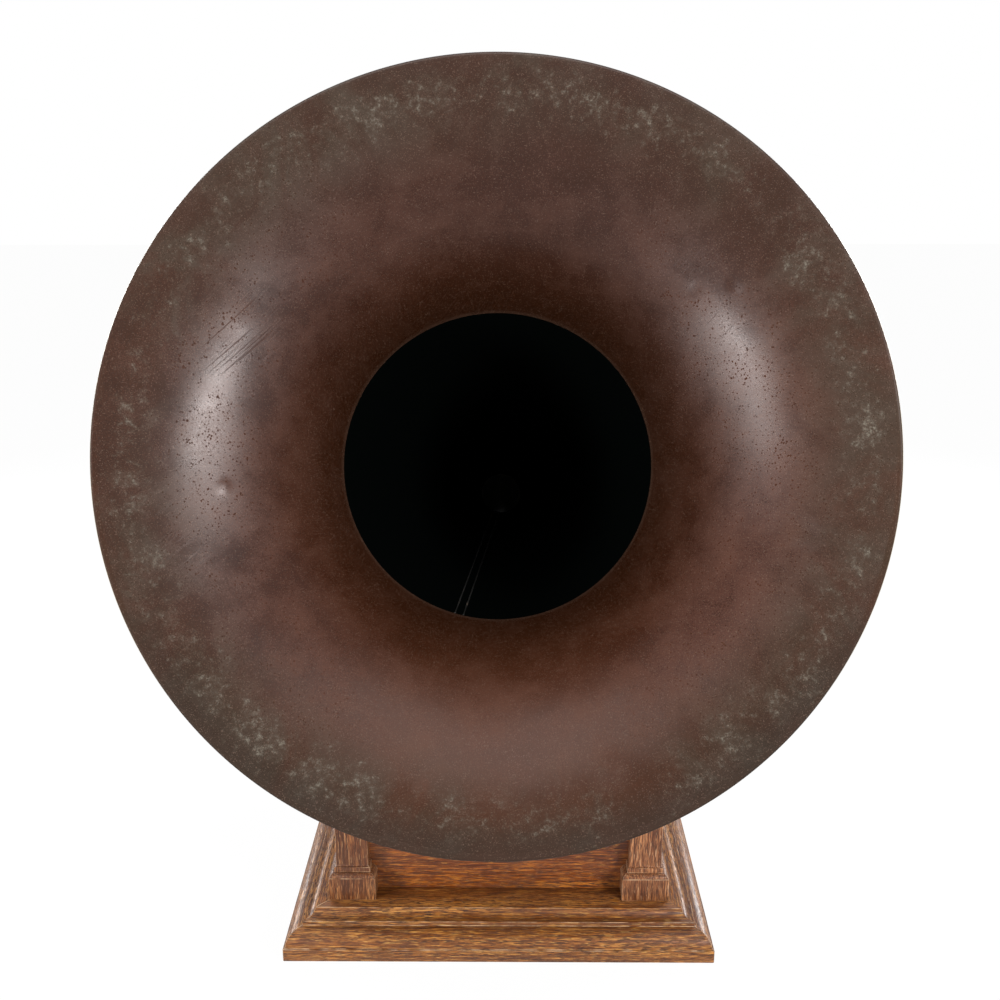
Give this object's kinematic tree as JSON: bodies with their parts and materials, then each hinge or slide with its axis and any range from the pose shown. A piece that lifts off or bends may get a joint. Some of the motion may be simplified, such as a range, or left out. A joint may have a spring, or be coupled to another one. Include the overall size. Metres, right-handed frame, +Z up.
{
  "type": "horn gramophone",
  "caption": "Table-top horn gramophone: oak case with a wind-up spring motor, turntable, tonearm with soundbox, and a large flared horn on a back bracket.",
  "frame": {"origin": "centre of the plinth's underside, on the surface it stands on", "axes": "+Z up; the horn's mouth faces -Y; the crank is on +X"},
  "size_m": [0.5562, 0.6293, 0.7512],
  "materials": {
    "oak": "fumed oak, satin varnish, open grain",
    "case_pine": "bare pine",
    "horn_patina": "brown patina with verdigris towards the rim",
    "black_japan": "black japan, semi-gloss",
    "brass": "aged brass",
    "nickel": "aged nickel plate",
    "steel": "bare oiled steel",
    "motor_iron": "grey enamelled iron",
    "felt": "worn green baize",
    "fibre": "red vulcanised fibre",
    "knob_wood": "dark stained, polished by the hand",
    "mica": "thin mica sheet"
  },
  "bodies": {
    "case": {"plinth_mouldings": "oak", "bottom_board": "case_pine", "front_panel": "oak", "back_panel": "oak", "left_panel": "oak", "right_panel": "oak", "post_front_left": "oak", "post_front_right": "oak", "post_back_left": "oak", "post_back_right": "oak", "cornice_mouldings": "oak", "motor_board": "oak", "wood_screws": "brass", "crank_escutcheon": "nickel", "needle_cups": "nickel", "back_bracket": "black_japan", "bracket_screws": "brass", "clamp_screw": "nickel", "motor_top_plate": "motor_iron", "motor_bottom_plate": "motor_iron", "motor_pillars": "steel", "motor_bolts": "steel", "governor_brackets": "motor_iron", "crank_bearing": "motor_iron"},
    "turntable": {"turntable_platter": "nickel", "turntable_felt": "felt", "spindle": "steel", "worm_wheel": "fibre"},
    "barrel": {"spring_barrel": "steel", "barrel_gear": "brass", "barrel_cover": "steel", "mainspring": "steel"},
    "arbor": {"barrel_arbor": "steel", "crown_gear": "brass"},
    "intermediate": {"intermediate_arbor": "steel", "intermediate_wheel": "brass"},
    "crank": {"crank_shaft": "nickel", "crank_pinion": "brass", "crank_arm": "nickel"},
    "knob": {"crank_knob": "knob_wood"},
    "governor": {"governor_spindle": "steel", "governor_worm": "steel", "governor_weights": "brass", "governor_springs": "steel", "governor_disc": "brass"},
    "brake": {"brake_lever": "nickel"},
    "regulator": {"speed_regulator": "nickel"},
    "arm": {"tonearm": "nickel", "tonearm_nut": "brass"},
    "soundbox": {"gooseneck": "nickel", "soundbox_shell": "nickel", "soundbox_ring": "nickel", "diaphragm": "mica", "needle_bar": "nickel", "needle": "steel", "needle_screw": "brass"},
    "horn": {"horn_bell": "horn_patina", "horn_cone": "black_japan", "horn_elbow": "black_japan", "horn_union": "brass"}
  },
  "joints": [
    {"name": "turntable_spin", "type": "hinge", "parent": "case", "child": "turntable", "pos_m": [0, 0, 0.16], "axis": [0, 0, 1], "continuous": true},
    {"name": "intermediate_spin", "type": "hinge", "parent": "case", "child": "intermediate", "pos_m": [0.02618, 0.02891, 0.12], "axis": [0, 0, 1], "continuous": true},
    {"name": "barrel_spin", "type": "hinge", "parent": "case", "child": "barrel", "pos_m": [0.07, 0, 0.1], "axis": [0, 0, 1], "continuous": true},
    {"name": "governor_spin", "type": "hinge", "parent": "case", "child": "governor", "pos_m": [-0.019, 0, 0.099], "axis": [0, 1, 0], "continuous": true},
    {"name": "crank_turn", "type": "hinge", "parent": "case", "child": "crank", "pos_m": [0.14, 0, 0.14], "axis": [1, 0, 0], "continuous": true},
    {"name": "arbor_spin", "type": "hinge", "parent": "case", "child": "arbor", "pos_m": [0.07, 0, 0.12], "axis": [0, 0, 1], "continuous": true},
    {"name": "knob_spin", "type": "hinge", "parent": "crank", "child": "knob", "pos_m": [0.23, 0, 0.245], "axis": [1, 0, 0], "continuous": true},
    {"name": "brake_swing", "type": "hinge", "parent": "case", "child": "brake", "pos_m": [0.113, -0.107, 0.177], "axis": [0, 0, 1], "range_deg": [0, 30]},
    {"name": "speed_set", "type": "hinge", "parent": "case", "child": "regulator", "pos_m": [-0.101, -0.101, 0.17], "axis": [0, 0, 1], "range_deg": [-4, 0]},
    {"name": "tonearm_swing", "type": "hinge", "parent": "case", "child": "arm", "pos_m": [0, 0.205, 0.26], "axis": [0, 0, 1], "range_deg": [-32, 15]},
    {"name": "soundbox_lift", "type": "hinge", "parent": "arm", "child": "soundbox", "pos_m": [0.10092, 0.08473, 0.233], "axis": [-0.766, -0.6428, 0], "range_deg": [0, 120]},
    {"name": "horn_swivel", "type": "hinge", "parent": "case", "child": "horn", "pos_m": [0, 0.205, 0.28], "axis": [0, 0, 1], "range_deg": [-40, 40]}
  ],
  "couplings": [
    {"joint": "intermediate_spin", "follows": "turntable_spin", "ratio": -0.21875},
    {"joint": "barrel_spin", "follows": "turntable_spin", "ratio": 0.036458},
    {"joint": "governor_spin", "follows": "turntable_spin", "ratio": 28},
    {"joint": "arbor_spin", "follows": "crank_turn", "ratio": 0.625}
  ]
}
